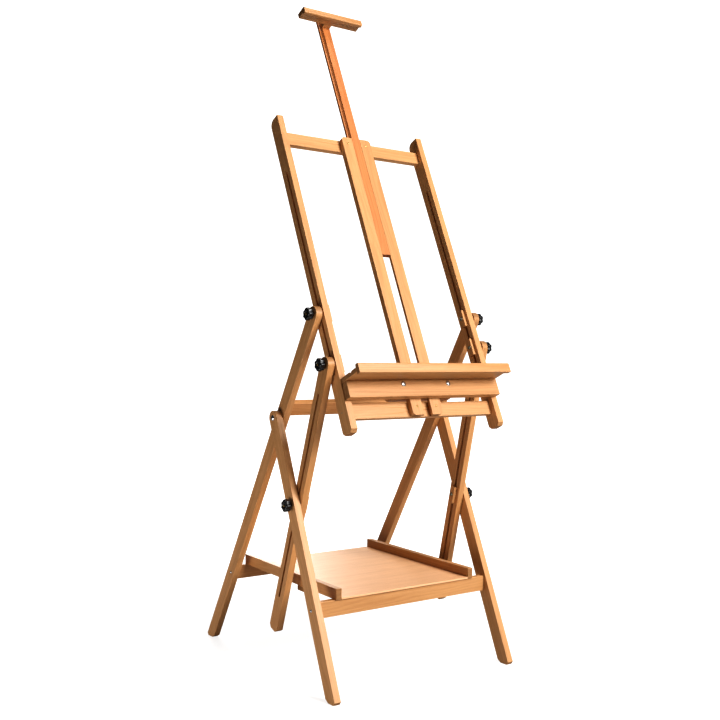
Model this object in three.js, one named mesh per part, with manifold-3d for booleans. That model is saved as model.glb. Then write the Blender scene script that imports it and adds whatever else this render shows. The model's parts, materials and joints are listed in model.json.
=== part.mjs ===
// Wooden studio easel: an H-shaped upper frame carried on two pairs of crossed legs,
// with a third, slotted brace on each side, a sliding mast, a canvas tray and a shelf.
// Millimetres. +X is the viewer's right from the front, +Y is the back, +Z is up.
// The origin lies on the floor under the middle of the easel.
import * as THREE from 'three';
import { mergeVertices } from 'three/addons/utils/BufferGeometryUtils.js';
import Module from 'manifold-3d';

const wasm = await Module();
wasm.setup();

// ---- driving dimensions -------------------------------------------------------------

const GAP = 0.3; // clearance between pieces that touch
const LEG_WIDTH = 42;
const LEG_CHAMFER = 9;

// layers on each side, measured outwards from the middle plane
const POST_INNER = 248;
const POST_OUTER = 268;
const REAR_INNER = 272.5;
const REAR_OUTER = 292.5;
const FRONT_INNER = 294;
const FRONT_OUTER = 314;

// pivots and feet in the side plane
const REAR_FOOT_Y = 401;
const FRONT_FOOT_Y = -358.5;
const TOP_PIVOT = { y: -233, z: 1023 };
const SCISSOR_UP_REAR_LEG = 861;

// upper frame: S runs up along the posts from the top pivot
const LEAN = THREE.MathUtils.degToRad(23.44);
const POST_FRONT = -20;
const POST_BACK = 24;
const POST_TOP = 643;
const POST_BOTTOM = -350;
const POST_TOP_RADIUS = 20;
const SLOT_WIDTH = 8;
const POST_SLOT = { low: -182, high: 457 };

const MAST_RAIL = { low: -310, high: 601, inner: 14.7, outer: 52.5, thick: 17.3 };
const RABBET = { width: 7.1, front: 8.7 };
const CROSS_RAIL = { height: 42, thick: 16 };
const TOP_RAIL_LOW = 556;
const BOTTOM_RAIL_LOW = -309;
const MAST_SCREW_X = 33.5;
const MAST_SCREW_S = [579, -285.5];

const SLIDER = { low: 194.5, high: 1094, neck: 14.3, flange: 21.4, corner: 6 };
const HOLDER = { half: 108.7, top: 1043.5, under: 1028.5, lip: 1022.5, front: -72, back: -33 };
const HOLDER_LIP_DEPTH = 12;

const TRAY = { half: 264.8, under: -213.7, top: -200.5 };
const TRAY_LIP = { front: -110.6, back: -97, low: -220.5, top: -192.7, round: 3.5 };
const TRAY_APRON = { low: -263, front: -42.6 };
const TRAY_GROOVE = { y: -69, half: 6, deep: 4.2 };
const TRAY_BACK = { half: 117, low: -258, high: -197, thick: 16 };
const TRAY_BOLT = { x: 79.2, s: -227.5 };

// braces: their clamp points on the posts and their own lean, left and right
const BRACE = {
  left: { clamp: -151, lean: THREE.MathUtils.degToRad(19.9) },
  right: { clamp: -95, lean: THREE.MathUtils.degToRad(14) },
};
const BRACE_BELOW_CLAMP = 819;
const BRACE_SLOT = { low: 109, high: 736 };

// lower rails and shelf
const FRONT_RAIL = { y: -272, low: 201, high: 245 };
const REAR_RAIL = { y: 242, low: 213, high: 255 };
const CROSSBAR_TOP = 909;
const SHELF = { half: 243.5, length: 528, lipWide: 17.5, lipHigh: 31, board: 5 };
const SHELF_TILT = Math.atan((REAR_RAIL.high - FRONT_RAIL.high) / (REAR_RAIL.y - FRONT_RAIL.y));
const SHELF_REAR = 8; // how far the shelf reaches onto the rear rail
const BATTEN = { fromRear: 322, wide: 36, deep: 14 };

const RAIL_THICK = 20;
const SCREW = { shank: 2, hole: 2.4, head: 4.4 };
const MAST_SCREW = { shank: 1.6, hole: 2, head: 3.4 };

// clamps
const BOLT_R = 3;
const BOLT_HEAD = { radius: 5.4, crown: 4.4, high: 3 };
const HOLE_R = 3.3;
const BLOCK = { half: 10, tall: 26, thick: 9.4, tongue: 8 };
const KNOB = { radius: 17, lobe: 1.6, lobes: 7, height: 15, hub: 9, hubHeight: 6 };

// ---- shape helpers ------------------------------------------------------------------

function toSolid(geometry) {
  const bare = geometry.clone();
  bare.deleteAttribute('normal');
  bare.deleteAttribute('uv');
  const merged = mergeVertices(bare, 1e-4);
  return new wasm.Manifold(new wasm.Mesh({
    numProp: 3,
    vertProperties: Float32Array.from(merged.attributes.position.array),
    triVerts: Uint32Array.from(merged.index.array),
  }));
}

function toGeometry(solid) {
  const mesh = solid.getMesh();
  const geometry = new THREE.BufferGeometry();
  geometry.setAttribute('position', new THREE.BufferAttribute(Float32Array.from(mesh.vertProperties), 3));
  geometry.setIndex(new THREE.BufferAttribute(Uint32Array.from(mesh.triVerts), 1));
  geometry.computeVertexNormals();
  return geometry;
}

function cut(geometry, ...tools) {
  return toGeometry(tools.reduce((solid, tool) => solid.subtract(toSolid(tool)), toSolid(geometry)));
}

function join(geometry, ...others) {
  return toGeometry(others.reduce((solid, other) => solid.add(toSolid(other)), toSolid(geometry)));
}

function box(x0, x1, y0, y1, z0, z1) {
  const geometry = new THREE.BoxGeometry(Math.abs(x1 - x0), Math.abs(y1 - y0), Math.abs(z1 - z0));
  return geometry.translate((x0 + x1) / 2, (y0 + y1) / 2, (z0 + z1) / 2);
}

// a profile drawn in the YZ plane, extruded along X from x0 to x1
function sidePiece(shape, x0, x1, curveSegments = 10) {
  const low = Math.min(x0, x1);
  const geometry = new THREE.ExtrudeGeometry(shape, {
    depth: Math.abs(x1 - x0),
    bevelEnabled: false,
    curveSegments,
  });
  const toSide = new THREE.Matrix4().makeBasis(
    new THREE.Vector3(0, 1, 0),
    new THREE.Vector3(0, 0, 1),
    new THREE.Vector3(1, 0, 0),
  );
  return geometry.applyMatrix4(toSide).translate(low, 0, 0);
}

// a profile drawn in the XY plane, extruded upwards from z0 to z1
function uprightPiece(points, z0, z1) {
  const shape = new THREE.Shape(points.map(([x, y]) => new THREE.Vector2(x, y)));
  return new THREE.ExtrudeGeometry(shape, { depth: z1 - z0, bevelEnabled: false }).translate(0, 0, z0);
}

// a cylinder from x0 to x1 around the line (y, z)
function roundAlongX(y, z, radius, x0, x1, segments = 16) {
  const geometry = new THREE.CylinderGeometry(radius, radius, Math.abs(x1 - x0), segments);
  return geometry.rotateZ(Math.PI / 2).translate((x0 + x1) / 2, y, z);
}

function roundAlongY(x, z, radius, y0, y1, segments = 16) {
  const geometry = new THREE.CylinderGeometry(radius, radius, Math.abs(y1 - y0), segments);
  return geometry.translate(x, (y0 + y1) / 2, z);
}

// a turned piece: [radius, height] pairs from one end of the axis to the other, axis +Z
function turned(profile, segments = 24) {
  const points = profile.map(([radius, height]) => new THREE.Vector2(radius, height));
  return new THREE.LatheGeometry(points, segments).rotateX(Math.PI / 2);
}

function slotHole(halfWidth, low, high) {
  const hole = new THREE.Shape();
  hole.moveTo(-halfWidth, low + halfWidth);
  hole.absarc(0, low + halfWidth, halfWidth, Math.PI, 2 * Math.PI, false);
  hole.lineTo(halfWidth, high - halfWidth);
  hole.absarc(0, high - halfWidth, halfWidth, 0, Math.PI, false);
  hole.closePath();
  return hole;
}

// a piece built along +Z turned to point along X (side = 1 or -1)
function faceSide(mesh, side) {
  mesh.rotation.y = side * Math.PI / 2;
  return mesh;
}

function faceBack(mesh) {
  mesh.rotation.x = -Math.PI / 2;
  return mesh;
}

const SIDES = [
  { name: 'left', side: -1 },
  { name: 'right', side: 1 },
];

// ---- materials ----------------------------------------------------------------------

const materials = {
  beech: { color: 0xd8a673, roughness: 0.55, metalness: 0 },
  slider: { color: 0xc0703a, roughness: 0.5, metalness: 0 },
  plywood: { color: 0xe0b182, roughness: 0.55, metalness: 0 },
  knob: { color: 0x101012, roughness: 0.25, metalness: 0 },
  zinc: { color: 0xb8bcc0, roughness: 0.3, metalness: 1 },
  brass: { color: 0xa98446, roughness: 0.35, metalness: 1 },
};

function piece(name, geometry, material, parent) {
  const mesh = new THREE.Mesh(geometry, new THREE.MeshStandardMaterial(materials[material]));
  mesh.name = name;
  parent.add(mesh);
  return mesh;
}

// ---- side plane geometry ------------------------------------------------------------

const REAR_LEAN = Math.atan2(REAR_FOOT_Y - TOP_PIVOT.y, TOP_PIVOT.z);
const REAR_LEG_LENGTH = Math.hypot(REAR_FOOT_Y - TOP_PIVOT.y, TOP_PIVOT.z);
const SCISSOR = {
  y: REAR_FOOT_Y - SCISSOR_UP_REAR_LEG * Math.sin(REAR_LEAN),
  z: SCISSOR_UP_REAR_LEG * Math.cos(REAR_LEAN),
};
const FRONT_LEAN = Math.atan2(SCISSOR.y - FRONT_FOOT_Y, SCISSOR.z);
const FRONT_LEG_LENGTH = Math.hypot(SCISSOR.y - FRONT_FOOT_Y, SCISSOR.z);

function clampPoint(brace) {
  return {
    y: TOP_PIVOT.y + brace.clamp * Math.sin(LEAN),
    z: TOP_PIVOT.z + brace.clamp * Math.cos(LEAN),
  };
}

// where the brace's slot crosses the front leg: distance below the clamp and up the front leg
function braceCrossing(brace) {
  const from = clampPoint(brace);
  const by = Math.sin(brace.lean);
  const bz = -Math.cos(brace.lean);
  const fy = Math.sin(FRONT_LEAN);
  const fz = Math.cos(FRONT_LEAN);
  const dy = FRONT_FOOT_Y - from.y;
  const dz = -from.z;
  const det = fy * bz - by * fz;
  return {
    below: (dz * fy - dy * fz) / det,
    upLeg: (by * dz - bz * dy) / det,
  };
}

// ---- legs ---------------------------------------------------------------------------

// legs and braces are drawn upright: the lower end at z = 0, the pivot at z = length
function legShape(length, lean) {
  const half = LEG_WIDTH / 2;
  const floorAt = (y) => -y * Math.tan(lean);
  const shape = new THREE.Shape();
  shape.moveTo(-half + LEG_CHAMFER, floorAt(-half + LEG_CHAMFER));
  shape.lineTo(half - LEG_CHAMFER, floorAt(half - LEG_CHAMFER));
  shape.lineTo(half, floorAt(half) + LEG_CHAMFER);
  shape.lineTo(half, length);
  shape.absarc(0, length, half, 0, Math.PI, false);
  shape.lineTo(-half, floorAt(-half) + LEG_CHAMFER);
  shape.closePath();
  return shape;
}

// a brace hangs from its clamp point: the clamp at z = 0, the lower end at z = -length
function braceShape() {
  const half = LEG_WIDTH / 2;
  const low = -BRACE_BELOW_CLAMP;
  const shape = new THREE.Shape();
  shape.moveTo(-half + LEG_CHAMFER, low);
  shape.lineTo(half - LEG_CHAMFER, low);
  shape.lineTo(half, low + LEG_CHAMFER);
  shape.lineTo(half, 0);
  shape.absarc(0, 0, half, 0, Math.PI, false);
  shape.lineTo(-half, low + LEG_CHAMFER);
  shape.closePath();
  shape.holes.push(slotHole(SLOT_WIDTH / 2, low + BRACE_SLOT.low, low + BRACE_SLOT.high));
  return shape;
}

function addRearFrame(parent) {
  const frame = new THREE.Group();
  frame.position.set(0, REAR_FOOT_Y, 0);
  frame.rotation.x = REAR_LEAN;
  parent.add(frame);
  const railAt = legPointAt(REAR_RAIL, REAR_FOOT_Y, REAR_LEAN);
  for (const { name, side } of SIDES) {
    const leg = cut(
      sidePiece(legShape(REAR_LEG_LENGTH, REAR_LEAN), side * REAR_INNER, side * REAR_OUTER),
      roundAlongX(0, REAR_LEG_LENGTH, HOLE_R, side * 260, side * 300),
      roundAlongX(0, SCISSOR_UP_REAR_LEG, HOLE_R, side * 276, side * 300),
      roundAlongX(railAt.y, railAt.z, SCREW.hole, side * 260, side * 300, 12),
    );
    piece('rear_leg_' + name, leg, 'beech', frame);
  }
  const reach = REAR_INNER - GAP;
  piece('upper_crossbar', box(-reach, reach, 0, 20, CROSSBAR_TOP - LEG_WIDTH, CROSSBAR_TOP), 'beech', frame);
  addRail('rear_rail', REAR_RAIL, reach, parent);
  addRailScrews('rear_rail_screw_', REAR_RAIL, REAR_OUTER, parent);
}

function addFrontFrame(parent) {
  const frame = new THREE.Group();
  frame.position.set(0, FRONT_FOOT_Y, 0);
  frame.rotation.x = -FRONT_LEAN;
  parent.add(frame);
  const railAt = legPointAt(FRONT_RAIL, FRONT_FOOT_Y, -FRONT_LEAN);
  for (const { name, side } of SIDES) {
    const crossing = braceCrossing(BRACE[name]);
    const leg = cut(
      sidePiece(legShape(FRONT_LEG_LENGTH, -FRONT_LEAN), side * FRONT_INNER, side * FRONT_OUTER),
      roundAlongX(0, FRONT_LEG_LENGTH, HOLE_R, side * 280, side * 320),
      roundAlongX(0, crossing.upLeg, HOLE_R, side * 280, side * 320),
      roundAlongX(railAt.y, railAt.z, SCREW.hole, side * 280, side * 320, 12),
    );
    piece('front_leg_' + name, leg, 'beech', frame);
    const pin = piece('hinge_bolt_' + name, hingeBolt(), 'zinc', frame);
    pin.position.set(side * FRONT_OUTER, 0, FRONT_LEG_LENGTH);
    faceSide(pin, side);
    const guide = new THREE.Group();
    guide.position.set(0, 0, crossing.upLeg);
    guide.rotation.x = FRONT_LEAN + BRACE[name].lean;
    frame.add(guide);
    addBlock('brace_block_' + name, guide, side, REAR_INNER, 0, 'brace_bolt_' + name);
    addKnob('brace_knob_' + name, guide, side, FRONT_OUTER, true);
  }
  addRail('front_rail', FRONT_RAIL, FRONT_INNER - GAP, parent);
  addRailScrews('front_rail_screw_', FRONT_RAIL, FRONT_OUTER, parent);
}

// the screw line of a lower rail, in the upright coordinates of the leg that it joins
function legPointAt(rail, footY, lean) {
  const y = rail.y + RAIL_THICK / 2 - footY;
  const z = (rail.low + rail.high) / 2;
  return {
    y: y * Math.cos(lean) + z * Math.sin(lean),
    z: -y * Math.sin(lean) + z * Math.cos(lean),
  };
}

function addRail(name, rail, reach, parent) {
  const y = rail.y + RAIL_THICK / 2;
  const z = (rail.low + rail.high) / 2;
  const bar = box(-reach, reach, rail.y, rail.y + RAIL_THICK, rail.low, rail.high);
  const pilots = [-1, 1].map((side) => roundAlongX(
    y, z, SCREW.hole, side * (reach - 22), side * (reach + 5), 12));
  piece(name, cut(bar, ...pilots), 'beech', parent);
}

function addRailScrews(prefix, rail, outerFace, parent) {
  for (const { name, side } of SIDES) {
    const screw = piece(prefix + name, turned([
      [0, -40], [SCREW.shank, -40], [SCREW.shank, GAP], [SCREW.head, GAP],
      [SCREW.head, 1.4], [2.6, 2.4], [0, 2.7],
    ], 12), 'zinc', parent);
    screw.position.set(side * outerFace, rail.y + RAIL_THICK / 2, (rail.low + rail.high) / 2);
    faceSide(screw, side);
  }
}

// ---- braces and clamps --------------------------------------------------------------

function hingeBolt() {
  const deep = -(FRONT_OUTER - REAR_OUTER) - 15;
  return turned([[0, deep], [BOLT_R, deep], [BOLT_R, GAP], [8.5, GAP], [8.2, 1.6], [5.8, 3.3], [0, 4.2]], 16);
}

// a shouldered bolt: head on the inner block, spacer between post and leg, thread for the knob
function clampBolt() {
  const head = -(REAR_OUTER - POST_INNER + BLOCK.thick + GAP);
  const spacerIn = -(REAR_OUTER - POST_OUTER) + GAP;
  const spacerOut = -(REAR_OUTER - REAR_INNER) - GAP;
  return turned([
    [0, head - BOLT_HEAD.high], [BOLT_HEAD.crown, head - BOLT_HEAD.high], [BOLT_HEAD.radius, head - 1.6],
    [BOLT_HEAD.radius, head - GAP], [BOLT_R, head - GAP],
    [BOLT_R, spacerIn], [10, spacerIn], [10, spacerOut], [BOLT_R, spacerOut], [BOLT_R, 12], [0, 12],
  ], 14);
}

// a sliding block that clamps against an inner face, with its tongue in the slot
function addBlock(name, parent, side, face, tongue, boltName) {
  const inner = face - GAP - BLOCK.thick;
  const plate = box(side * inner, side * (face - GAP), -BLOCK.half, BLOCK.half, -BLOCK.tall, BLOCK.tall);
  const bore = roundAlongX(0, 0, HOLE_R, side * (inner - 5), side * (face + 20));
  if (tongue > 0) {
    const key = box(side * (inner + 1), side * (face + tongue), -3.6, 3.6, -BLOCK.tall + 4, BLOCK.tall - 4);
    piece(name, cut(join(plate, key), bore), 'beech', parent);
    return;
  }
  piece(name, cut(plate, bore), 'beech', parent);
  const bolt = piece(boltName, turned([
    [0, -BOLT_HEAD.high], [BOLT_HEAD.crown, -BOLT_HEAD.high], [BOLT_HEAD.radius, -1.6],
    [BOLT_HEAD.radius, -GAP], [BOLT_R, -GAP], [BOLT_R, BLOCK.thick], [0, BLOCK.thick],
  ], 14), 'zinc', parent);
  bolt.position.set(side * inner, 0, 0);
  faceSide(bolt, side);
}

// a lobed knob on a round hub; its base lies at z = 0
function knobGeometry(stud) {
  const points = [];
  const steps = KNOB.lobes * 4;
  for (let i = 0; i < steps; i += 1) {
    const angle = (i / steps) * 2 * Math.PI;
    const radius = KNOB.radius + KNOB.lobe * Math.cos(KNOB.lobes * angle) - 1.5;
    points.push(new THREE.Vector2(radius * Math.cos(angle), radius * Math.sin(angle)));
  }
  const head = new THREE.ExtrudeGeometry(new THREE.Shape(points), {
    depth: KNOB.height - 3,
    bevelEnabled: true,
    bevelThickness: 1.5,
    bevelSize: 1.5,
    bevelSegments: 1,
  }).translate(0, 0, KNOB.hubHeight + 1.5);
  const hub = turned([[0, 0], [KNOB.hub, 0], [KNOB.hub, KNOB.hubHeight + 2], [0, KNOB.hubHeight + 2]], 16);
  const knob = join(head, hub);
  if (stud > 0) {
    return join(knob, turned([[0, -stud], [BOLT_R, -stud], [BOLT_R, 2], [0, 2]], 16));
  }
  const bore = turned([[0, -1], [HOLE_R, -1], [HOLE_R, 15], [0, 15]], 12);
  return cut(knob, bore);
}

function addKnob(name, parent, side, face, onStud = false) {
  const stud = onStud ? FRONT_OUTER - FRONT_INNER : 0;
  const knob = piece(name, knobGeometry(stud), 'knob', parent);
  knob.position.set(side * (face + GAP), 0, 0);
  return faceSide(knob, side);
}

function addBraces(parent) {
  for (const { name, side } of SIDES) {
    const brace = BRACE[name];
    const at = clampPoint(brace);
    const group = new THREE.Group();
    group.position.set(0, at.y, at.z);
    group.rotation.x = brace.lean;
    parent.add(group);
    const bar = cut(
      sidePiece(braceShape(), side * REAR_INNER, side * REAR_OUTER),
      roundAlongX(0, 0, HOLE_R, side * 260, side * 300),
    );
    piece('brace_' + name, bar, 'beech', group);
    const bolt = piece('lower_bolt_' + name, clampBolt(), 'zinc', group);
    bolt.position.set(side * REAR_OUTER, 0, 0);
    faceSide(bolt, side);
    addKnob('lower_knob_' + name, group, side, REAR_OUTER);
  }
}

// ---- upper frame --------------------------------------------------------------------

// the upper frame's own axes: Y runs back from the posts' slots, Z runs up along the posts
function leaningGroup(parent) {
  const group = new THREE.Group();
  group.position.set(0, TOP_PIVOT.y, TOP_PIVOT.z);
  group.rotation.x = -LEAN;
  parent.add(group);
  return group;
}

function postShape() {
  const shape = new THREE.Shape();
  shape.moveTo(POST_FRONT, POST_BOTTOM + LEG_CHAMFER);
  shape.lineTo(POST_FRONT + LEG_CHAMFER, POST_BOTTOM);
  shape.lineTo(POST_BACK - LEG_CHAMFER, POST_BOTTOM);
  shape.lineTo(POST_BACK, POST_BOTTOM + LEG_CHAMFER);
  shape.lineTo(POST_BACK, POST_TOP - POST_TOP_RADIUS);
  const round = POST_TOP_RADIUS;
  shape.absarc(POST_BACK - round, POST_TOP - round, round, 0, Math.PI / 2, false);
  shape.lineTo(POST_FRONT, POST_TOP);
  shape.closePath();
  shape.holes.push(slotHole(SLOT_WIDTH / 2, POST_SLOT.low, POST_SLOT.high));
  return shape;
}

function addPosts(frame) {
  for (const { name, side } of SIDES) {
    piece('post_' + name, sidePiece(postShape(), side * POST_INNER, side * POST_OUTER), 'beech', frame);
    for (const [level, offset] of [['upper', 0], ['lower', BRACE[name].clamp]]) {
      const carrier = new THREE.Group();
      carrier.position.set(0, 0, offset);
      frame.add(carrier);
      addBlock(level + '_block_' + name, carrier, side, POST_INNER, BLOCK.tongue);
    }
    const bolt = piece('upper_bolt_' + name, clampBolt(), 'zinc', frame);
    bolt.position.set(side * REAR_OUTER, 0, 0);
    faceSide(bolt, side);
    addKnob('upper_knob_' + name, frame, side, REAR_OUTER);
  }
}

// the rails stand behind the mast rails; the top one takes the mast clamp's screw
function addCrossRails(frame) {
  const reach = POST_INNER - GAP;
  const front = POST_FRONT + MAST_RAIL.thick + GAP;
  const back = front + CROSS_RAIL.thick;
  const pilots = (level) => [-1, 1].map((side) => roundAlongY(
    side * MAST_SCREW_X, MAST_SCREW_S[level], MAST_SCREW.hole, front - 5, front + 12, 10));
  const clampHole = roundAlongY(0, TOP_RAIL_LOW + CROSS_RAIL.height / 2, HOLE_R, front - 5, back + 5);
  const top = box(-reach, reach, front, back, TOP_RAIL_LOW, TOP_RAIL_LOW + CROSS_RAIL.height);
  const bottom = box(-reach, reach, front, back, BOTTOM_RAIL_LOW, BOTTOM_RAIL_LOW + CROSS_RAIL.height);
  piece('top_rail', cut(top, clampHole, ...pilots(0)), 'beech', frame);
  piece('bottom_rail', cut(bottom, ...pilots(1)), 'beech', frame);
  const screw = piece('mast_clamp_screw', turned([
    [0, 0], [6, 0], [6, 0.4], [BOLT_R, 0.4], [BOLT_R, 28], [0, 28],
  ], 16), 'zinc', frame);
  screw.position.set(0, front - 0.6, TOP_RAIL_LOW + CROSS_RAIL.height / 2);
  faceBack(screw);
  const knob = piece('mast_knob', knobGeometry(0), 'knob', frame);
  knob.position.set(0, back + GAP, TOP_RAIL_LOW + CROSS_RAIL.height / 2);
  faceBack(knob);
}

// two rails with a rabbet behind their inner edges make the track of the sliding mast
function addMastRails(frame) {
  const back = POST_FRONT + MAST_RAIL.thick;
  const step = POST_FRONT + RABBET.front;
  for (const { name, side } of SIDES) {
    const strip = roundedStrip(MAST_RAIL.inner, MAST_RAIL.outer, MAST_RAIL.low, MAST_RAIL.high);
    const bar = frontPiece(strip, POST_FRONT, back);
    const mirrored = side > 0 ? bar : bar.rotateZ(Math.PI).translate(0, POST_FRONT + back, 0);
    const rabbetEdge = side * (MAST_RAIL.inner + RABBET.width);
    const screwHoles = MAST_SCREW_S.map((s) => roundAlongY(
      side * MAST_SCREW_X, s, MAST_SCREW.hole, POST_FRONT - 5, back + 5, 10));
    piece('mast_rail_' + name, cut(
      mirrored,
      box(0, rabbetEdge, step, back + 5, MAST_RAIL.low - 5, MAST_RAIL.high + 5),
      ...screwHoles,
    ), 'beech', frame);
    MAST_SCREW_S.forEach((s, i) => {
      const screw = piece('mast_screw_' + (i ? 'low_' : 'high_') + name, turned([
        [0, -2.2], [2.4, -2], [MAST_SCREW.head, -1], [MAST_SCREW.head, -GAP],
        [MAST_SCREW.shank, -GAP], [MAST_SCREW.shank, 27], [0, 27],
      ], 12), 'brass', frame);
      screw.position.set(side * MAST_SCREW_X, POST_FRONT, s);
      faceBack(screw);
    });
  }
}

// a profile drawn in the XZ plane, extruded along Y from y0 to y1
function frontPiece(shape, y0, y1, curveSegments = 6) {
  const geometry = new THREE.ExtrudeGeometry(shape, { depth: y1 - y0, bevelEnabled: false, curveSegments });
  return geometry.rotateX(Math.PI / 2).translate(0, y1, 0);
}

// an upright strip with rounded corners on its outer edge (high x)
function roundedStrip(x0, x1, z0, z1) {
  const r = 11;
  const shape = new THREE.Shape();
  shape.moveTo(x0, z0);
  shape.lineTo(x1 - r, z0);
  shape.absarc(x1 - r, z0 + r, r, -Math.PI / 2, 0, false);
  shape.lineTo(x1, z1 - r);
  shape.absarc(x1 - r, z1 - r, r, 0, Math.PI / 2, false);
  shape.lineTo(x0, z1);
  shape.closePath();
  return shape;
}

// ---- sliding mast -------------------------------------------------------------------

function addSlidingMast(frame) {
  const front = POST_FRONT;
  const step = POST_FRONT + RABBET.front + 0.4;
  const back = POST_FRONT + MAST_RAIL.thick - 0.4;
  const { neck, flange, corner } = SLIDER;
  const section = uprightPiece([
    [-neck, front], [neck, front], [neck, step], [flange, step],
    [flange, back], [-flange, back], [-flange, step], [-neck, step],
  ], SLIDER.low, SLIDER.high);
  const topCorner = (side) => {
    const wedge = new THREE.Shape();
    wedge.moveTo(side * (flange - corner), SLIDER.high + 1);
    wedge.lineTo(side * (flange + 1), SLIDER.high + 1);
    wedge.lineTo(side * (flange + 1), SLIDER.high - corner);
    wedge.closePath();
    return frontPiece(wedge, front - 1, back + 1);
  };
  piece('mast_slider', cut(section, topCorner(1), topCorner(-1)), 'slider', frame);

  const { half, top, under, lip, back: holderBack, front: holderFront } = HOLDER;
  const profile = new THREE.Shape();
  profile.moveTo(holderBack, under);
  profile.lineTo(holderBack, top);
  profile.lineTo(holderFront + 5, top);
  profile.absarc(holderFront + 5, top - 5, 5, Math.PI / 2, Math.PI, false);
  profile.absarc(holderFront + 3, lip + 3, 3, Math.PI, 1.5 * Math.PI, false);
  profile.lineTo(holderFront + HOLDER_LIP_DEPTH, lip);
  profile.lineTo(holderFront + HOLDER_LIP_DEPTH, under);
  profile.closePath();
  piece('top_holder', sidePiece(profile, -half, half, 4), 'beech', frame);
  piece('holder_spacer', box(-neck, neck, holderBack + GAP, front - GAP, under, top), 'beech', frame);
}

// ---- canvas tray --------------------------------------------------------------------

function addTray(frame) {
  const back = POST_FRONT - GAP;
  const { half, under, top } = TRAY;
  const ledgeFront = TRAY_LIP.back + GAP;
  const ledge = new THREE.Shape();
  ledge.moveTo(ledgeFront, under);
  ledge.lineTo(back, under);
  ledge.lineTo(back, top);
  ledge.lineTo(TRAY_GROOVE.y + TRAY_GROOVE.half, top);
  ledge.lineTo(TRAY_GROOVE.y, top - TRAY_GROOVE.deep);
  ledge.lineTo(TRAY_GROOVE.y - TRAY_GROOVE.half, top);
  ledge.lineTo(ledgeFront, top);
  ledge.closePath();
  piece('tray_ledge', sidePiece(ledge, -half, half), 'beech', frame);

  const { front, back: lipBack, low: lipLow, top: lipTop, round } = TRAY_LIP;
  const lip = new THREE.Shape();
  lip.moveTo(front, lipLow);
  lip.lineTo(lipBack, lipLow);
  lip.lineTo(lipBack, lipTop - round);
  lip.absarc(lipBack - round, lipTop - round, round, 0, Math.PI / 2, false);
  lip.absarc(front + round, lipTop - round, round, Math.PI / 2, Math.PI, false);
  lip.closePath();
  piece('tray_lip', sidePiece(lip, -half, half, 5), 'beech', frame);

  const bores = (y0, y1) => [-1, 1].map((side) => roundAlongY(
    side * TRAY_BOLT.x, TRAY_BOLT.s, HOLE_R, y0, y1));
  const apron = box(-half, half, TRAY_APRON.front, back, TRAY_APRON.low, under - GAP);
  piece('tray_apron', cut(apron, ...bores(TRAY_APRON.front - 5, back + 5)), 'beech', frame);

  const plateFront = POST_FRONT + MAST_RAIL.thick + GAP;
  const plateBack = plateFront + TRAY_BACK.thick;
  const outline = chamferedPlate(TRAY_BACK.half, TRAY_BACK.low, TRAY_BACK.high, 10);
  const plate = frontPiece(outline, plateFront, plateBack);
  piece('tray_back_plate', cut(plate, ...bores(plateFront - 5, plateBack + 5)), 'beech', frame);

  for (const { name, side } of SIDES) {
    const shank = plateBack - TRAY_APRON.front + 12;
    const bolt = piece('tray_bolt_' + name, turned([
      [0, -4.4], [4.6, -3.8], [7.6, -2.2], [8.7, -GAP], [BOLT_R, -GAP], [BOLT_R, shank], [0, shank],
    ], 16), 'zinc', frame);
    bolt.position.set(side * TRAY_BOLT.x, TRAY_APRON.front, TRAY_BOLT.s);
    faceBack(bolt);
    const knob = piece('tray_knob_' + name, knobGeometry(0), 'knob', frame);
    knob.position.set(side * TRAY_BOLT.x, plateBack + GAP, TRAY_BOLT.s);
    faceBack(knob);
  }
}

function chamferedPlate(half, low, high, corner) {
  const shape = new THREE.Shape();
  shape.moveTo(-half + corner, low);
  shape.lineTo(half - corner, low);
  shape.lineTo(half, low + corner);
  shape.lineTo(half, high);
  shape.lineTo(-half, high);
  shape.lineTo(-half, low + corner);
  shape.closePath();
  return shape;
}

// ---- shelf --------------------------------------------------------------------------

// drawn level with its rear lower edge at the group's origin, then tipped onto both rails
function addShelf(parent) {
  const shelf = new THREE.Group();
  shelf.position.set(0, REAR_RAIL.y + SHELF_REAR, REAR_RAIL.high + GAP + SHELF_REAR * Math.tan(SHELF_TILT));
  shelf.rotation.x = SHELF_TILT;
  parent.add(shelf);
  const { half, length, lipWide, lipHigh, board } = SHELF;
  for (const { name, side } of SIDES) {
    const lip = box(side * (half - lipWide), side * half, -length, 0, 0, lipHigh);
    piece('shelf_lip_' + name, lip, 'beech', shelf);
  }
  const inner = half - lipWide - GAP;
  piece('shelf_board', box(-inner, inner, -length, 0, 0, board), 'plywood', shelf);
  piece('shelf_batten', box(
    -half, half, -BATTEN.fromRear - BATTEN.wide, -BATTEN.fromRear, -GAP - BATTEN.deep, -GAP,
  ), 'beech', shelf);
}

// ---- assembly -----------------------------------------------------------------------

const easel = new THREE.Group();
addRearFrame(easel);
addFrontFrame(easel);
addBraces(easel);
const upperFrame = leaningGroup(easel);
addPosts(upperFrame);
addCrossRails(upperFrame);
addMastRails(upperFrame);
addSlidingMast(upperFrame);
addTray(upperFrame);
addShelf(easel);

export default easel;
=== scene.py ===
"""A folding beech studio easel: grained timber, lobed clamp knobs, plated bolts and screws."""
import json
import math
import random

import bmesh
import bpy
import numpy as np
from mathutils import Matrix, Vector


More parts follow.
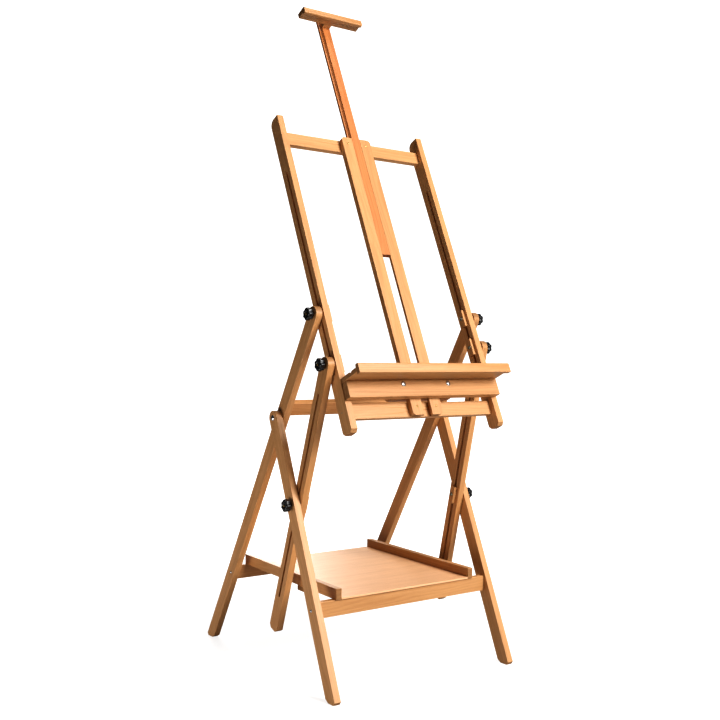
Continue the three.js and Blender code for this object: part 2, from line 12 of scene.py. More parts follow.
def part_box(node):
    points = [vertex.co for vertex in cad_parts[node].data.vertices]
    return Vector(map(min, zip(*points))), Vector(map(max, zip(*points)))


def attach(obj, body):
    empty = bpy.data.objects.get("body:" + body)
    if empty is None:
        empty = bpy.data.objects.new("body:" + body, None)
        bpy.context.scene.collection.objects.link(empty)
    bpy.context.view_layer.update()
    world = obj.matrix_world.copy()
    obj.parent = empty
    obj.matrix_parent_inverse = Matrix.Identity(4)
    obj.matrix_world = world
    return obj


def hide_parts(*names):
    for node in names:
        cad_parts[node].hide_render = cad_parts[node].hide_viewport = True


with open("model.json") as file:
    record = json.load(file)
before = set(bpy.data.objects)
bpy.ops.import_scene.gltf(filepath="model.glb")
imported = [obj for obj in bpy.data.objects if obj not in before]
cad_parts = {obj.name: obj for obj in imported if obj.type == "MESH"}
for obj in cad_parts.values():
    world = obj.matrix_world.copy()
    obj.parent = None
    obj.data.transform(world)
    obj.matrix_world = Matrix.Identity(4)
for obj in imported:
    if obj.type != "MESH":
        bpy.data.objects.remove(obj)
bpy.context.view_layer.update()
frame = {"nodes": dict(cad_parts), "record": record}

MM = 0.001
SIDES = ("left", "right")

# ---- camera ---------------------------------------------------------------------------
# The viewer stands to the left of the tray, a little under eye level with it.
CAMERA_YAW = math.radians(-34.52)
CAMERA_PITCH = 0.0026
CAMERA_AWAY = 2.967
CAMERA_ASIDE = 0.021
CAMERA_HEIGHT = 0.879
CAMERA_LENS = 47.92
CAMERA_SENSOR = 36
CAMERA_SHIFT = 0.0058


def set_camera():
    camera = bpy.data.objects.new("camera", bpy.data.cameras.new("camera"))
    bpy.context.scene.collection.objects.link(camera)
    ahead = Vector((-math.sin(CAMERA_YAW), math.cos(CAMERA_YAW), 0))
    aside = Vector((math.cos(CAMERA_YAW), math.sin(CAMERA_YAW), 0))
    camera.location = aside * CAMERA_ASIDE - ahead * CAMERA_AWAY + Vector((0, 0, CAMERA_HEIGHT))
    camera.rotation_euler = (math.pi / 2 + CAMERA_PITCH, 0, CAMERA_YAW)
    camera.data.lens = CAMERA_LENS
    camera.data.sensor_width = CAMERA_SENSOR
    camera.data.shift_y = CAMERA_SHIFT
    camera.data.dof.use_dof = False
    bpy.context.scene.camera = camera


set_camera()


# ---- shader helpers -------------------------------------------------------------------

def feed(tree, value, socket):
    """Joins a value that is another node's output, or sets a plain one."""
    if isinstance(value, bpy.types.NodeSocket):
        tree.links.new(value, socket)
    else:
        socket.default_value = value


class Finish:
    """A node material with short ways to add and join its nodes."""

    def __init__(self, name, **shader_values):
        self.material = bpy.data.materials.new(name)
        self.material.use_nodes = True
        self.tree = self.material.node_tree
        self.shader = self.tree.nodes["Principled BSDF"]
        for socket, value in shader_values.items():
            self.shader.inputs[socket.replace("_", " ")].default_value = value

    def node(self, kind, inputs=None, **settings):
        made = self.tree.nodes.new("ShaderNode" + kind)
        for key, value in settings.items():
            setattr(made, key, value)
        for key, value in (inputs or {}).items():
            feed(self.tree, value, made.inputs[key])
        return made

    def math(self, operation, a, b=0.0, clamp=False):
        made = self.node("Math", operation=operation, use_clamp=clamp)
        for index, value in enumerate((a, b)):
            feed(self.tree, value, made.inputs[index])
        return made.outputs[0]

    def remap(self, value, low, high, to_low=0.0, to_high=1.0):
        made = self.node("MapRange", {"Value": value, "From Min": low, "From Max": high,
                                      "To Min": to_low, "To Max": to_high})
        return made.outputs["Result"]

    def attribute(self, name):
        return self.node("Attribute", attribute_name=name)

    def stretched(self, vector, scale):
        return self.node("Mapping", {"Vector": vector, "Scale": scale}).outputs["Vector"]

    def noise(self, vector, scale, detail=3.0, roughness=0.5):
        made = self.node("TexNoise", {"Vector": vector, "Scale": scale, "Detail": detail,
                                      "Roughness": roughness})
        return made.outputs["Fac"]

    def mix(self, factor, a, b):
        made = self.node("Mix", data_type="RGBA", blend_type="MIX")
        for index, value in ((0, factor), (6, a), (7, b)):
            feed(self.tree, value, made.inputs[index])
        return made.outputs[2]

    def colour(self, socket):
        self.tree.links.new(socket, self.shader.inputs["Base Color"])

    def roughness(self, socket):
        self.tree.links.new(socket, self.shader.inputs["Roughness"])

    def bump(self, height, distance, strength=1.0):
        made = self.node("Bump", {"Height": height, "Distance": distance, "Strength": strength})
        self.tree.links.new(made.outputs["Normal"], self.shader.inputs["Normal"])


# ---- finishes -------------------------------------------------------------------------
# Timber reads four attributes that every timber piece carries: "grain" holds the place along,
# across and through the board, "tone" the board's own shade, "cut" how much a face is end grain
# and "rubbed" how much it is a softened edge.

def timber(name, pale, dark, streak, ring_pitch, contrast=1.0, gloss=0.42):
    f = Finish(name, Coat_Weight=0.12, Coat_Roughness=0.35, Specular_IOR_Level=0.4)
    grain = f.attribute("grain").outputs["Vector"]
    tone = f.attribute("tone").outputs["Fac"]
    end_cut = f.attribute("cut").outputs["Fac"]
    rubbed = f.attribute("rubbed").outputs["Fac"]

    drift = f.noise(f.stretched(grain, (1.6, 16, 16)), 1.0, 2.0)
    _, across, through = f.node("SeparateXYZ", {"Vector": grain}).outputs
    slope = f.math("ADD", across, f.math("MULTIPLY", through, 0.6))
    rings = f.math("ADD", f.math("DIVIDE", slope, ring_pitch), f.math("MULTIPLY", drift, 9.0))
    wave = f.math("SINE", f.math("MULTIPLY", rings, 2 * math.pi))
    late_wood = f.remap(wave, -0.4, 1.0)
    broad = f.noise(f.stretched(grain, (2.2, 30, 30)), 1.0, 3.0)
    fibre = f.noise(f.stretched(grain, (26, 900, 900)), 1.0, 4.0, 0.65)
    long_streak = f.noise(f.stretched(grain, (3.5, 210, 210)), 1.0, 3.0, 0.6)

    fleck_cells = f.node("TexVoronoi", {"Vector": f.stretched(grain, (260, 1500, 1500)), "Scale": 1.0})
    fleck_chance = f.node("SeparateXYZ", {"Vector": fleck_cells.outputs["Color"]}).outputs[0]
    fleck_pick = f.math("GREATER_THAN", fleck_chance, 0.72)
    fleck = f.math("MULTIPLY", fleck_pick, f.remap(fleck_cells.outputs["Distance"], 0.42, 0.12))

    shade = f.math("ADD", f.math("MULTIPLY", late_wood, 0.22 * contrast),
                   f.math("MULTIPLY", f.remap(broad, 0.3, 0.7), 0.34 * contrast))
    shade = f.math("ADD", shade, f.math("MULTIPLY", f.remap(long_streak, 0.35, 0.7), 0.3 * contrast))
    shade = f.math("ADD", shade, f.math("MULTIPLY", tone, 0.28), clamp=True)
    body = f.mix(shade, (*pale, 1), (*dark, 1))
    body = f.mix(f.math("MULTIPLY", f.remap(fibre, 0.45, 0.8), 0.3), body, (*streak, 1))
    body = f.mix(f.math("MULTIPLY", fleck, 0.34), body, (*streak, 1))
    end_light = (*(0.62 * c for c in dark), 1)
    end_dark = (*(0.4 * c for c in dark), 1)
    end_colour = f.mix(f.math("MULTIPLY", late_wood, 0.6), end_light, end_dark)
    body = f.mix(f.math("MULTIPLY", end_cut, 0.75), body, end_colour)
    handled = f.noise(f.stretched(grain, (30, 60, 60)), 1.0, 3.0)
    wear = f.math("MULTIPLY", rubbed, f.remap(handled, 0.35, 0.65))
    worn = (*(min(1, 1.25 * c) for c in pale), 1)
    body = f.mix(f.math("MULTIPLY", wear, 0.35), body, worn)
    f.colour(body)
    sheen = f.remap(fibre, 0.3, 0.8, gloss - 0.06, gloss + 0.12)
    sheen = f.math("ADD", sheen, f.math("MULTIPLY", end_cut, 0.2))
    f.roughness(sheen)
    f.bump(f.math("ADD", fibre, f.math("MULTIPLY", fleck, -0.5)), 0.00012, 0.5)
    return f.material


def black_plastic():
    f = Finish("black_knob_plastic", Specular_IOR_Level=0.55, Coat_Weight=0.2, Coat_Roughness=0.12)
    place = f.node("TexCoord").outputs["Object"]
    dust = f.noise(f.stretched(place, (90, 90, 90)), 1.0, 4.0)
    moulding = f.noise(f.stretched(place, (900, 900, 900)), 1.0, 2.0)
    f.colour(f.mix(f.remap(dust, 0.5, 0.8), (0.010, 0.010, 0.011, 1), (0.03, 0.029, 0.028, 1)))
    f.roughness(f.remap(dust, 0.3, 0.75, 0.2, 0.36))
    f.bump(moulding, 0.00004, 0.4)
    return f.material


def plated_metal(name, bright, dull, rough):
    f = Finish(name, Metallic=1.0)
    place = f.node("TexCoord").outputs["Object"]
    cloud = f.noise(f.stretched(place, (160, 160, 160)), 1.0, 4.0)
    scratch = f.noise(f.stretched(place, (500, 2600, 700)), 1.0, 2.0)
    f.colour(f.mix(f.remap(cloud, 0.4, 0.75), (*bright, 1), (*dull, 1)))
    f.roughness(f.remap(scratch, 0.3, 0.7, rough - 0.06, rough + 0.1))
    f.bump(scratch, 0.00003, 0.3)
    return f.material


BEECH = timber("oiled_beech", (0.66, 0.365, 0.165), (0.46, 0.22, 0.082), (0.29, 0.115, 0.036), 0.011)
MAST_TIMBER = timber("red_mast_timber", (0.66, 0.275, 0.10), (0.47, 0.165, 0.05), (0.28, 0.085, 0.022),
                     0.009, 1.1)
# The shelf plywood is paler than the beech. This is partly its own colour and partly painted light: its
# colours are raised to stand in for the light that falls on the shelf's top.
PLYWOOD_WITH_PAINTED_LIGHT = timber("shelf_plywood_painted_light", (0.90, 0.54, 0.31), (0.72, 0.40, 0.19), (0.54, 0.27, 0.12), 0.042, 0.9)
KNOB_BLACK = black_plastic()
ZINC = plated_metal("zinc_plate", (0.66, 0.67, 0.69), (0.36, 0.37, 0.38), 0.24)
DULL_ZINC = plated_metal("dull_zinc_plate", (0.40, 0.38, 0.30), (0.22, 0.20, 0.15), 0.38)
BRASS = plated_metal("brass_screw", (0.70, 0.50, 0.22), (0.46, 0.31, 0.12), 0.28)

BODY_OF = {node: body for body, nodes in frame["record"]["behaviour"]["bodies"].items() for node in nodes}


# ---- making pieces --------------------------------------------------------------------

def new_object(name, mesh, material):
    made = bpy.data.objects.new(name, mesh)
    bpy.context.scene.collection.objects.link(made)
    mesh.materials.clear()
    mesh.materials.append(material)
    return made


def flatten(obj):
    """Applies an object's modifiers and leaves it a plain mesh."""
    graph = bpy.context.evaluated_depsgraph_get()
    graph.update()
    finished = bpy.data.meshes.new_from_object(obj.evaluated_get(graph), depsgraph=graph)
    obj.modifiers.clear()
    old = obj.data
    obj.data = finished
    bpy.data.meshes.remove(old)


def settle(piece, *nodes):
    """Puts a finished piece on the body of the nodes that it stands for."""
    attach(piece, BODY_OF[nodes[0]])
    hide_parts(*nodes)


SAME_PLACE = 0.01 * MM
SAME_PLANE = math.radians(0.6)
CRISP = math.radians(25)


def plain_copy(node):
    """A node's mesh as whole flat faces: doubles merged and level triangles joined."""
    mesh = frame["nodes"][node].data.copy()
    work = bmesh.new()
    work.from_mesh(mesh)
    bmesh.ops.remove_doubles(work, verts=work.verts, dist=SAME_PLACE)
    bmesh.ops.dissolve_limit(work, angle_limit=SAME_PLANE, verts=work.verts, edges=work.edges)
    work.to_mesh(mesh)
    work.free()
    return mesh


def board_axes(mesh, grain_across=False):
    """Unit vectors along the grain, across the board and through it."""
    points = [v.co for v in mesh.vertices]
    longest = max(mesh.edges, key=lambda e: (points[e.vertices[0]] - points[e.vertices[1]]).length)
    along = (points[longest.vertices[0]] - points[longest.vertices[1]]).normalized()
    if along[max(range(3), key=lambda i: abs(along[i]))] < 0:
        along.negate()
    faces = [p for p in mesh.polygons if abs(p.normal.dot(along)) < 0.1]
    through = max(faces, key=lambda p: p.area).normal.normalized()
    through = (through - along * through.dot(along)).normalized()
    across = along.cross(through)
    return (across, along, through) if grain_across else (along, across, through)


def grain_attributes(mesh, axes, name):
    """Writes where each point lies in its board, and which faces are end grain or softened edges."""
    chance = random.Random(name)
    shift = Vector((chance.uniform(-5, 5), chance.uniform(-2, 2), chance.uniform(-2, 2)))
    place = mesh.attributes.new("grain", "FLOAT_VECTOR", "POINT")
    values = np.array([[v.co.dot(a) + s for a, s in zip(axes, shift)] for v in mesh.vertices], np.float32)
    place.data.foreach_set("vector", values.ravel())
    tone = mesh.attributes.new("tone", "FLOAT", "POINT")
    tone.data.foreach_set("value", [chance.uniform(-0.6, 0.8)] * len(mesh.vertices))
    cut = mesh.attributes.new("cut", "FLOAT", "FACE")
    rubbed = mesh.attributes.new("rubbed", "FLOAT", "FACE")
    end_grain = []
    softened = []
    for face in mesh.polygons:
        facing = [abs(face.normal.dot(a)) for a in axes]
        end_grain.append(min(1.0, max(0.0, (facing[0] - 0.55) / 0.35)))
        corners = [mesh.vertices[i].co for i in face.vertices]
        narrow = min((a - b).length for a, b in zip(corners, corners[1:] + corners[:1]))
        softened.append(1.0 if max(facing) < 0.985 and narrow < 1.1 * MM else 0.0)
    cut.data.foreach_set("value", end_grain)
    rubbed.data.foreach_set("value", softened)


def worked_timber(node, material, softening=1.3, grain_across=False, shortest_edge=2.2):
    """A timber piece cut to its node's shape, with its edges eased and its grain laid out."""
    mesh = plain_copy(node)
    axes = board_axes(mesh, grain_across)
    piece = new_object(node + "_timber", mesh, material)
    mesh.attributes.new("bevel_weight_edge", "FLOAT", "EDGE")
    work = bmesh.new()
    work.from_mesh(mesh)
    layer = work.edges.layers.float["bevel_weight_edge"]
    for edge in work.edges:
        crisp = len(edge.link_faces) == 2 and edge.calc_face_angle_signed(0) > CRISP
        edge[layer] = 1.0 if crisp and edge.calc_length() > shortest_edge * MM else 0.0
    work.to_mesh(mesh)
    work.free()
    bevel = piece.modifiers.new("eased edges", "BEVEL")
    bevel.width = softening * MM
    bevel.segments = 3
    bevel.limit_method = "WEIGHT"
    bevel.harden_normals = True
    mesh.shade_smooth()
    mesh.set_sharp_from_angle(angle=math.radians(32))
    flatten(piece)
    piece.data.shade_smooth()
    grain_attributes(piece.data, axes, node)
    settle(piece, node)


def ring_mesh(name, rows, steps):
    """A closed shape about +Z from (height, radius at each step) rows; no radii is a point on the axis."""
    work = bmesh.new()
    rings = []
    for height, radii in rows:
        if not radii:
            rings.append([work.verts.new((0, 0, height * MM))])
            continue
        ring = []
        for step, radius in enumerate(radii):
            angle = 2 * math.pi * step / steps
            x = radius * MM * math.cos(angle)
            y = radius * MM * math.sin(angle)
            ring.append(work.verts.new((x, y, height * MM)))
        rings.append(ring)
    for low, high in zip(rings, rings[1:]):
        for step in range(steps):
            after = (step + 1) % steps
            corners = [low[step % len(low)], low[after % len(low)]]
            corners += [high[after % len(high)], high[step % len(high)]]
            corners = list(dict.fromkeys(corners))
            if len(corners) > 2:
                work.faces.new(corners)
    bmesh.ops.recalc_face_normals(work, faces=work.faces)
    mesh = bpy.data.meshes.new(name)
    work.to_mesh(mesh)
    work.free()
    mesh.shade_smooth()
    return mesh


def turned_mesh(name, profile, steps=48):
    """A turned shape from (radius, height) pairs in millimetres, its axis along +Z."""
    rows = [(height, [radius] * steps if radius else []) for radius, height in profile]
    mesh = ring_mesh(name, rows, steps)
    mesh.set_sharp_from_angle(angle=math.radians(40))
    return mesh


def middle(node):
    low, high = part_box(node)
    return (low + high) / 2


def side_end(node, sign):
    """The middle of a node's box on its left (-1) or right (1) side."""
    low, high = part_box(node)
    centre = (low + high) / 2
    return Vector((high.x if sign > 0 else low.x, centre.y, centre.z))


def width(node):
    """A node's size from left to right, in millimetres."""
    low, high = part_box(node)
    return (high.x - low.x) / MM


UP_THE_RAIL = middle("mast_screw_high_left") - middle("mast_screw_low_left")
LEAN = math.atan2(UP_THE_RAIL.y, UP_THE_RAIL.z)
BACKWARD = Vector((0, math.cos(LEAN), -math.sin(LEAN)))


def leaning_half(node, widest):
    """Half the length of a round piece that lies along BACKWARD, in millimetres, from its widest part."""
    low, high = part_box(node)
    return ((high.y - low.y) / MM - widest * math.sin(LEAN)) / math.cos(LEAN) / 2


def facing(direction, origin):
    """The placement that turns +Z towards a direction at an origin."""
    return Matrix.Translation(origin) @ direction.to_track_quat("Z", "Y").to_matrix().to_4x4()


# ---- timber ---------------------------------------------------------------------------

def make_timber():
    bars = ["rear_rail", "front_rail", "upper_crossbar", "top_rail", "bottom_rail", "top_holder",
            "tray_ledge", "tray_lip", "tray_apron", "tray_back_plate", "shelf_batten"]
    for side in SIDES:
        bars += [part + "_" + side for part in (
            "rear_leg", "front_leg", "brace", "post", "mast_rail", "shelf_lip")]
    for bar in bars:
        worked_timber(bar, BEECH)
    for side in SIDES:
        for block in ("upper_block_", "lower_block_", "brace_block_"):
            worked_timber(block + side, BEECH, 0.9)
    worked_timber("holder_spacer", BEECH, 0.6)
    worked_timber("mast_slider", MAST_TIMBER, 1.0)
    worked_timber("shelf_board", PLYWOOD_WITH_PAINTED_LIGHT, 0.5, grain_across=True)


# ---- clamp knobs ----------------------------------------------------------------------

LOBES = 7
KNOB_RADIUS = 17.0
LOBE_HEIGHT = 1.3
VALLEY_DEPTH = 1.3
STEPS_PER_LOBE = 16
KNOB_TOP = 21.0
# (share of the lobed radius, height, depth of the lobes) from the hub's foot to the cap's middle
KNOB_RINGS = [
    (0.0, 0.0, 0), (0.38, 0.0, 0), (0.50, 0.3, 0), (0.53, 1.0, 0), (0.53, 4.6, 0), (0.57, 5.6, 0.1),
    (0.66, 6.0, 0.4), (0.88, 6.1, 0.9), (0.955, 6.6, 1), (0.99, 7.8, 1), (1.0, 10.0, 1), (1.0, 15.5, 1),
    (0.99, 17.6, 1), (0.955, 19.2, 1), (0.89, 20.3, 0.9), (0.80, 20.8, 0.7), (0.66, 21.0, 0.35),
    (0.50, 20.9, 0.1), (0.45, 20.6, 0), (0.43, 20.1, 0), (0.0, 20.0, 0),
]


def knob_mesh(name):
    steps = LOBES * STEPS_PER_LOBE
    rows = []
    for share, height, lobing in KNOB_RINGS:
        radii = []
        for step in range(steps if share else 0):
            swell = math.cos(LOBES * (2 * math.pi * step / steps))
            swell = swell if swell > 0 else VALLEY_DEPTH * swell
            radii.append(share * (KNOB_RADIUS + LOBE_HEIGHT * lobing * swell))
        rows.append((height, radii))
    return ring_mesh(name, rows, steps)


# the brass insert in the cap, and how far its foot lies below the cap's top
CAP_DOT = [(0, 0.2), (2.6, 0.2), (3.1, 0.45), (3.3, 0.9), (3.1, 1.3), (2.4, 1.5), (1.2, 1.55), (0, 1.55)]
CAP_DOT_SUNK = 1.25


def make_knob(node, outward):
    if abs(outward.x) > 0.5:
        foot = side_end(node, outward.x) - outward * (KNOB_TOP * MM)
    else:
        foot = middle(node) - outward * (KNOB_TOP * MM / 2)
    placing = facing(outward, foot)
    mesh = knob_mesh(node)
    mesh.transform(placing)
    settle(new_object(node + "_moulding", mesh, KNOB_BLACK), node)
    dot_mesh = turned_mesh(node + "_insert", CAP_DOT, 24)
    dot_mesh.transform(placing @ Matrix.Translation((0, 0, (KNOB_TOP - CAP_DOT_SUNK) * MM)))
    dot = new_object(node + "_insert", dot_mesh, BRASS)
    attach(dot, BODY_OF[node])


def make_knobs():
    for sign, side in zip((-1, 1), SIDES):
        for level in ("upper_knob_", "lower_knob_", "brace_knob_"):
            make_knob(level + side, Vector((sign, 0, 0)))
        make_knob("tray_knob_" + side, BACKWARD)
    make_knob("mast_knob", BACKWARD)


# ---- bolts ----------------------------------------------------------------------------

def make_bolt(node, profile, axis, head_at, material=ZINC):
    """A turned bolt whose head face stands at head_at; the profile runs from the head to the thread."""
    mesh = turned_mesh(node, profile)
    mesh.transform(facing(axis, head_at))
    settle(new_object(node + "_turned", mesh, material), node)


def dome(radius, rise, steps=6):
    """Points of a domed head from its crown to its rim, the rim at height 0."""
    return [(radius * math.sin(math.pi / 2 * i / steps), -rise * math.cos(math.pi / 2 * i / steps))
            for i in range(steps + 1)]


def thread(radius, start, end, pitch=1.0, depth=0.35):
    """Rings of a screw thread along a shank."""
    turns = int((end - start) / pitch)
    rows = []
    for turn in range(turns):
        at = start + turn * pitch
        rows += [(radius - depth, at), (radius, at + pitch / 2)]
    return rows + [(radius - depth, end - 0.6), (radius - 1, end), (0, end)]


# a pan head with a hexagon-key recess, from the recess floor to the underside
CLAMP_HEAD = [(0, 1.5), (2.2, 1.5), (2.2, 0.2), (2.5, 0), (3.9, 0), (4.9, 0.6), (5.4, 1.5), (5.4, 2.7)]
SHANK = 3
THREAD_IN_KNOB = 12
LEG_THICK = 20
SPACER_GAP = 4.2
SPACER_THICK = 3.9
SPACER_RADIUS = 10
BRACE_SHANK_END = 12.2
DOME_RISE = 4.2
HINGE_DOME = 8.4
TRAY_DOME = 8.6
TRAY_BOLT_WIDEST = 17.4
TRAY_THREAD = 13
CLAMP_PAD_WIDEST = 12


def make_clamp_bolts(sign, side):
    outward = Vector((sign, 0, 0))
    for node in ("upper_bolt_" + side, "lower_bolt_" + side):
        length = width(node)
        spacer = length - THREAD_IN_KNOB - LEG_THICK - SPACER_GAP
        behind = spacer + SPACER_THICK
        shaft = [(SHANK, 2.7), (SHANK, spacer)]
        shaft += [(SPACER_RADIUS, spacer), (SPACER_RADIUS, behind), (SHANK, behind)]
        profile = CLAMP_HEAD + shaft + thread(SHANK, spacer + 5, length)
        make_bolt(node, profile, outward, side_end(node, -sign), DULL_ZINC)
    node = "brace_bolt_" + side
    profile = CLAMP_HEAD + [(SHANK, 2.7), (SHANK, BRACE_SHANK_END), (0, BRACE_SHANK_END)]
    make_bolt(node, profile, outward, side_end(node, -sign), DULL_ZINC)


def make_hinge_bolt(sign, side):
    node = "hinge_bolt_" + side
    length = width(node)
    head = [(r, h + DOME_RISE) for r, h in dome(HINGE_DOME, DOME_RISE)]
    shaft = [(HINGE_DOME, 4.1), (SHANK, 4.1), (SHANK, length - 1), (2.2, length), (0, length)]
    make_bolt(node, head + shaft, Vector((-sign, 0, 0)), side_end(node, sign))


def make_tray_bolt(side):
    node = "tray_bolt_" + side
    half = leaning_half(node, TRAY_BOLT_WIDEST)
    head = [(r, h + DOME_RISE) for r, h in dome(TRAY_DOME, DOME_RISE)]
    shaft = [(8.2, 4.35), (SHANK, 4.35), (SHANK, 2 * half - TRAY_THREAD - 1)]
    profile = head + shaft + thread(SHANK, 2 * half - TRAY_THREAD, 2 * half)
    make_bolt(node, profile, BACKWARD, middle(node) - BACKWARD * (half * MM))


def make_bolts():
    for sign, side in zip((-1, 1), SIDES):
        make_clamp_bolts(sign, side)
        make_hinge_bolt(sign, side)
        make_tray_bolt(side)
    half = leaning_half("mast_clamp_screw", CLAMP_PAD_WIDEST)
    pad = [(0, 0), (5.6, 0), (6, 0.1), (6, 0.4), (SHANK, 0.4)]
    end = middle("mast_clamp_screw") - BACKWARD * (half * MM)
    make_bolt("mast_clamp_screw", pad + thread(SHANK, 1, 2 * half), BACKWARD, end)


# ---- screws, made by Geometry Nodes ---------------------------------------------------

class Tree:
    """A Geometry Nodes tree with named inputs."""

    def __init__(self, name):
        self.group = bpy.data.node_groups.new(name, "GeometryNodeTree")
        self.group.interface.new_socket("Geometry", in_out="INPUT", socket_type="NodeSocketGeometry")
        self.group.interface.new_socket("Geometry", in_out="OUTPUT", socket_type="NodeSocketGeometry")
        self.start = self.group.nodes.new("NodeGroupInput")
        self.end = self.group.nodes.new("NodeGroupOutput")

    def size(self, name, value, kind="NodeSocketFloat"):
        made = self.group.interface.new_socket(name, in_out="INPUT", socket_type=kind)
        if value is not None:
            made.default_value = value
        return self.start.outputs[name]

    def node(self, kind, inputs=None, **settings):
        made = self.group.nodes.new(kind)
        for key, value in settings.items():
            setattr(made, key, value)
        for key, value in (inputs or {}).items():
            feed(self.group, value, made.inputs[key])
        return made

    def finish(self, geometry):
        self.group.links.new(geometry, self.end.inputs["Geometry"])
        return self.group


def screw_tree():
    """A cross-recessed screw at every point, turned to the point's direction and by its own angle."""
    t = Tree("wood_screws")
    head = t.size("Head Radius", 0.0044)
    rise = t.size("Head Rise", 0.0022)
    shank = t.size("Shank Radius", 0.002)
    length = t.size("Shank Length", 0.04)
    recess = t.size("Recess Width", 0.0011)
    material = t.size("Material", None, "NodeSocketMaterial")

    def calc(operation, a, b=0.0):
        return t.node("ShaderNodeMath", {0: a, 1: b}, operation=operation).outputs[0]

    def vector(x=0.0, y=0.0, z=0.0):
        return t.node("ShaderNodeCombineXYZ", {0: x, 1: y, 2: z}).outputs[0]

    def moved(geometry, offset):
        return t.node("GeometryNodeTransform", {"Geometry": geometry, "Translation": offset}).outputs[0]

    def cube(size):
        return t.node("GeometryNodeMeshCube", {"Size": size}).outputs["Mesh"]

    ball = t.node("GeometryNodeMeshUVSphere", {"Segments": 32, "Rings": 16, "Radius": head})
    squash = calc("DIVIDE", rise, head)
    dome_head = t.node("GeometryNodeTransform", {
        "Geometry": ball.outputs["Mesh"], "Scale": vector(1.0, 1.0, squash)}).outputs[0]
    cross_width = calc("MULTIPLY", head, 1.15)
    cross_depth = calc("MULTIPLY", rise, 1.1)
    bar_a = moved(cube(vector(cross_width, recess, cross_depth)), vector(z=rise))
    bar_b = moved(cube(vector(recess, cross_width, cross_depth)), vector(z=rise))
    lower_half = moved(cube((0.03, 0.03, 0.02)), (0, 0, -0.01))
    cutters = t.node("GeometryNodeJoinGeometry")
    for cutter in (bar_a, bar_b, lower_half):
        t.group.links.new(cutter, cutters.inputs[0])
    cut_head = t.node("GeometryNodeMeshBoolean", operation="DIFFERENCE", solver="EXACT")
    t.group.links.new(dome_head, cut_head.inputs["Mesh 1"])
    t.group.links.new(cutters.outputs[0], cut_head.inputs["Mesh 2"])
    cut_head.inputs["Self Intersection"].default_value = True
    shaft = t.node("GeometryNodeMeshCylinder", {"Vertices": 20, "Radius": shank, "Depth": length})
    shaft_in = moved(shaft.outputs["Mesh"], vector(z=calc("MULTIPLY", length, -0.5)))
    screw = t.node("GeometryNodeJoinGeometry")
    for part in (cut_head.outputs["Mesh"], shaft_in):
        t.group.links.new(part, screw.inputs[0])

    direction = t.node("GeometryNodeInputNamedAttribute", data_type="FLOAT_VECTOR")
    direction.inputs["Name"].default_value = "facing"
    spin = t.node("GeometryNodeInputNamedAttribute", data_type="FLOAT")
    spin.inputs["Name"].default_value = "spin"
    turn = t.node("FunctionNodeAlignRotationToVector", {"Vector": direction.outputs["Attribute"]}, axis="Z")
    own_turn = t.node("FunctionNodeAxisAngleToRotation", {"Angle": spin.outputs["Attribute"]})
    own_turn.inputs["Axis"].default_value = (0, 0, 1)
    both = t.node("FunctionNodeRotateRotation", {
        "Rotation": turn.outputs[0], "Rotate By": own_turn.outputs[0]}, rotation_space="LOCAL")
    placed = t.node("GeometryNodeInstanceOnPoints", {
        "Points": t.start.outputs["Geometry"], "Instance": screw.outputs[0], "Rotation": both.outputs[0]})
    real = t.node("GeometryNodeRealizeInstances", {"Geometry": placed.outputs[0]})
    coated = t.node("GeometryNodeSetMaterial", {"Geometry": real.outputs[0], "Material": material})
    return t.finish(coated.outputs[0])


def make_screws(name, tree, outward, seats, material, sizes):
    """One mesh of screws for one body: seats are the points under the heads."""
    mesh = bpy.data.meshes.new(name)
    mesh.from_pydata([tuple(p) for p in seats], [], [])
    mesh.attributes.new("facing", "FLOAT_VECTOR", "POINT").data.foreach_set(
        "vector", [c for d in outward for c in d])
    chance = random.Random(name)
    mesh.attributes.new("spin", "FLOAT", "POINT").data.foreach_set(
        "value", [chance.uniform(0, math.pi) for _ in seats])
    screws = new_object(name, mesh, material)
    modifier = screws.modifiers.new("screws", "NODES")
    modifier.node_group = tree
    for item in tree.interface.items_tree:
        if item.in_out == "INPUT" and item.name in sizes:
            modifier[item.identifier] = sizes[item.name]
        if item.in_out == "INPUT" and item.name == "Material":
            modifier[item.identifier] = material
    flatten(screws)
    screws.data.materials.clear()
    screws.data.materials.append(material)
    screws.data.shade_smooth()
    screws.data.set_sharp_from_angle(angle=math.radians(35))
    return screws


COUNTERSUNK = {"Head Radius": 4.2 * MM, "Head Rise": 1.0 * MM, "Shank Radius": 1.8 * MM,
               "Shank Length": 17 * MM, "Recess Width": 1.1 * MM}


RAIL_SCREW = {"Head Radius": 4.4 * MM, "Head Rise": 2.3 * MM, "Shank Length": 39 * MM}
MAST_SCREW = {"Head Radius": 3.5 * MM, "Head Rise": 2.0 * MM, "Shank Radius": 1.6 * MM,
              "Shank Length": 26 * MM, "Recess Width": 0.9 * MM}
RAIL_HEAD_TALL = 2.5
MAST_SCREW_WIDEST = 6.8
MAST_HEAD_TALL = 2.2


def make_rail_screws(tree, frame_half):
    nodes = [f"{frame_half}_rail_screw_{side}" for side in SIDES]
    outward = [Vector((-1, 0, 0)), Vector((1, 0, 0))]
    seats = [side_end(node, way.x) - way * (RAIL_HEAD_TALL * MM) for node, way in zip(nodes, outward)]
    name = frame_half + "_rail_screws"
    settle(make_screws(name, tree, outward, seats, ZINC, RAIL_SCREW), *nodes)


def make_mast_rail_screws(tree):
    nodes = [f"mast_screw_{level}_{side}" for level in ("high", "low") for side in SIDES]
    seats = []
    for node in nodes:
        reach = leaning_half(node, MAST_SCREW_WIDEST) - MAST_HEAD_TALL
        seats.append(middle(node) - BACKWARD * (reach * MM))
    outward = [-BACKWARD] * len(nodes)
    settle(make_screws("mast_rail_screws", tree, outward, seats, BRASS, MAST_SCREW), *nodes)


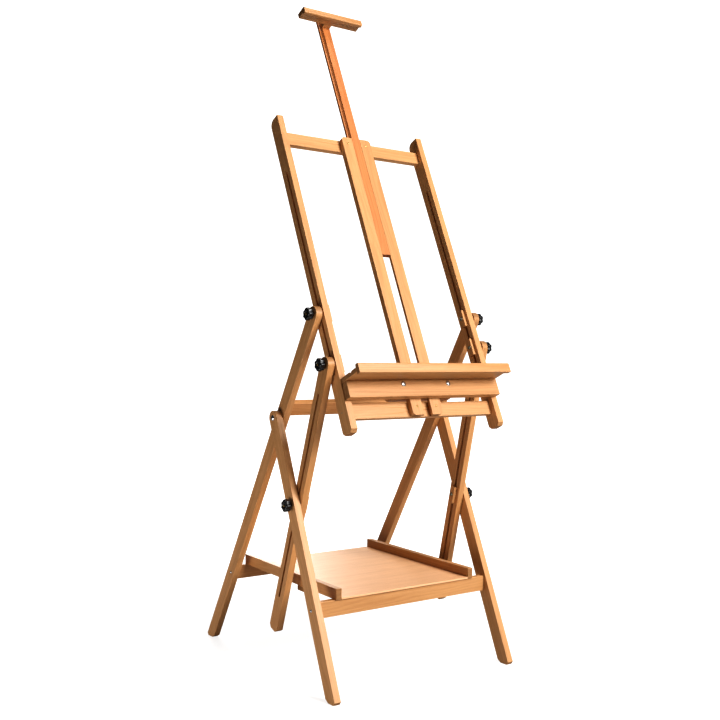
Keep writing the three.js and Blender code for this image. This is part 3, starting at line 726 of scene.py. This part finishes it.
def add_countersunk_screws(tree, name, side_timber, cross_pieces):
    """Countersunk screws through the side timbers into the ends of cross pieces."""
    seats = []
    outward = []
    for cross_piece in cross_pieces:
        for sign, side in zip((-1, 1), SIDES):
            face = side_end(side_timber + side, sign).x
            at = middle(cross_piece)
            seats.append(Vector((face - sign * COUNTERSUNK["Head Rise"] * 0.8, at.y, at.z)))
            outward.append(Vector((sign, 0, 0)))
    screws = make_screws(name, tree, outward, seats, DULL_ZINC, COUNTERSUNK)
    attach(screws, BODY_OF[side_timber + "left"])


def make_all_screws():
    tree = screw_tree()
    make_rail_screws(tree, "front")
    make_rail_screws(tree, "rear")
    make_mast_rail_screws(tree)
    add_countersunk_screws(tree, "post_screws", "post_", ("top_rail", "bottom_rail"))
    add_countersunk_screws(tree, "crossbar_screws", "rear_leg_", ("upper_crossbar",))


# ---- stage and light ------------------------------------------------------------------

def white_sweep(name, base, near_glow, far_glow):
    """A matt white surface that looks brighter to the camera than it lights the object."""
    f = Finish(name, Roughness=0.8, Specular_IOR_Level=0.1)
    f.shader.inputs["Base Color"].default_value = (base, base, base, 1)
    f.shader.inputs["Emission Color"].default_value = (1, 1, 1, 1)
    spot = f.node("TexCoord").outputs["Object"]
    away = f.node("VectorMath", {0: spot}, operation="LENGTH").outputs["Value"]
    glow = f.remap(away, 0.7, 2.6, near_glow, far_glow)
    seen = f.node("LightPath").outputs["Is Camera Ray"]
    f.tree.links.new(f.math("MULTIPLY", seen, glow), f.shader.inputs["Emission Strength"])
    return f.material


FLOOR_RADIUS = 24
BACKDROP_RADIUS = 23


def set_stage():
    bpy.ops.mesh.primitive_circle_add(vertices=96, radius=FLOOR_RADIUS, fill_type="NGON", location=(0, 0, 0))
    floor = bpy.context.object
    floor.name = "floor"
    floor.data.materials.append(white_sweep("pale_floor", 0.42, 0.57, 1.0))
    bpy.ops.mesh.primitive_uv_sphere_add(
        segments=64, ring_count=32, radius=BACKDROP_RADIUS, location=(0, 0, 0))
    backdrop = bpy.context.object
    backdrop.name = "backdrop"
    backdrop.data.materials.append(white_sweep("white_backdrop", 0.0, 1.0, 1.0))
    for ray in ("diffuse", "glossy", "transmission", "volume_scatter", "shadow"):
        setattr(backdrop, "visible_" + ray, False)


def softbox(name, place, target, size, power, colour=(1, 1, 1)):
    light = bpy.data.objects.new(name, bpy.data.lights.new(name, "AREA"))
    bpy.context.scene.collection.objects.link(light)
    light.data.shape = "RECTANGLE"
    light.data.size, light.data.size_y = size
    light.data.energy = power
    light.data.color = colour
    light.location = place
    light.rotation_euler = (Vector(target) - Vector(place)).to_track_quat("-Z", "Y").to_euler()


def set_light():
    world = bpy.data.worlds.new("studio")
    bpy.context.scene.world = world
    world.use_nodes = True
    background = world.node_tree.nodes["Background"]
    background.inputs["Color"].default_value = (1.0, 0.99, 0.98, 1)
    background.inputs["Strength"].default_value = 0.05
    softbox("key", (1.6, -5.4, 3.6), (0, 0, 0.7), (3.0, 2.4), 410, (1, 0.99, 0.97))
    softbox("top", (1.0, -1.6, 7.0), (0, 0, 0.4), (3.2, 3.2), 90)
    softbox("low fill", (-1.7, 0.0, 0.14), (-0.3, 0.2, 0.1), (0.9, 0.25), 7, (1, 0.97, 0.93))
    softbox("rear", (1.5, 4.8, 2.4), (0, 0, 0.9), (2.4, 2.4), 110)
    bpy.context.scene.view_settings.view_transform = "Standard"
    bpy.context.scene.view_settings.look = "High Contrast"


make_timber()
make_knobs()
make_bolts()
make_all_screws()
set_stage()
set_light()
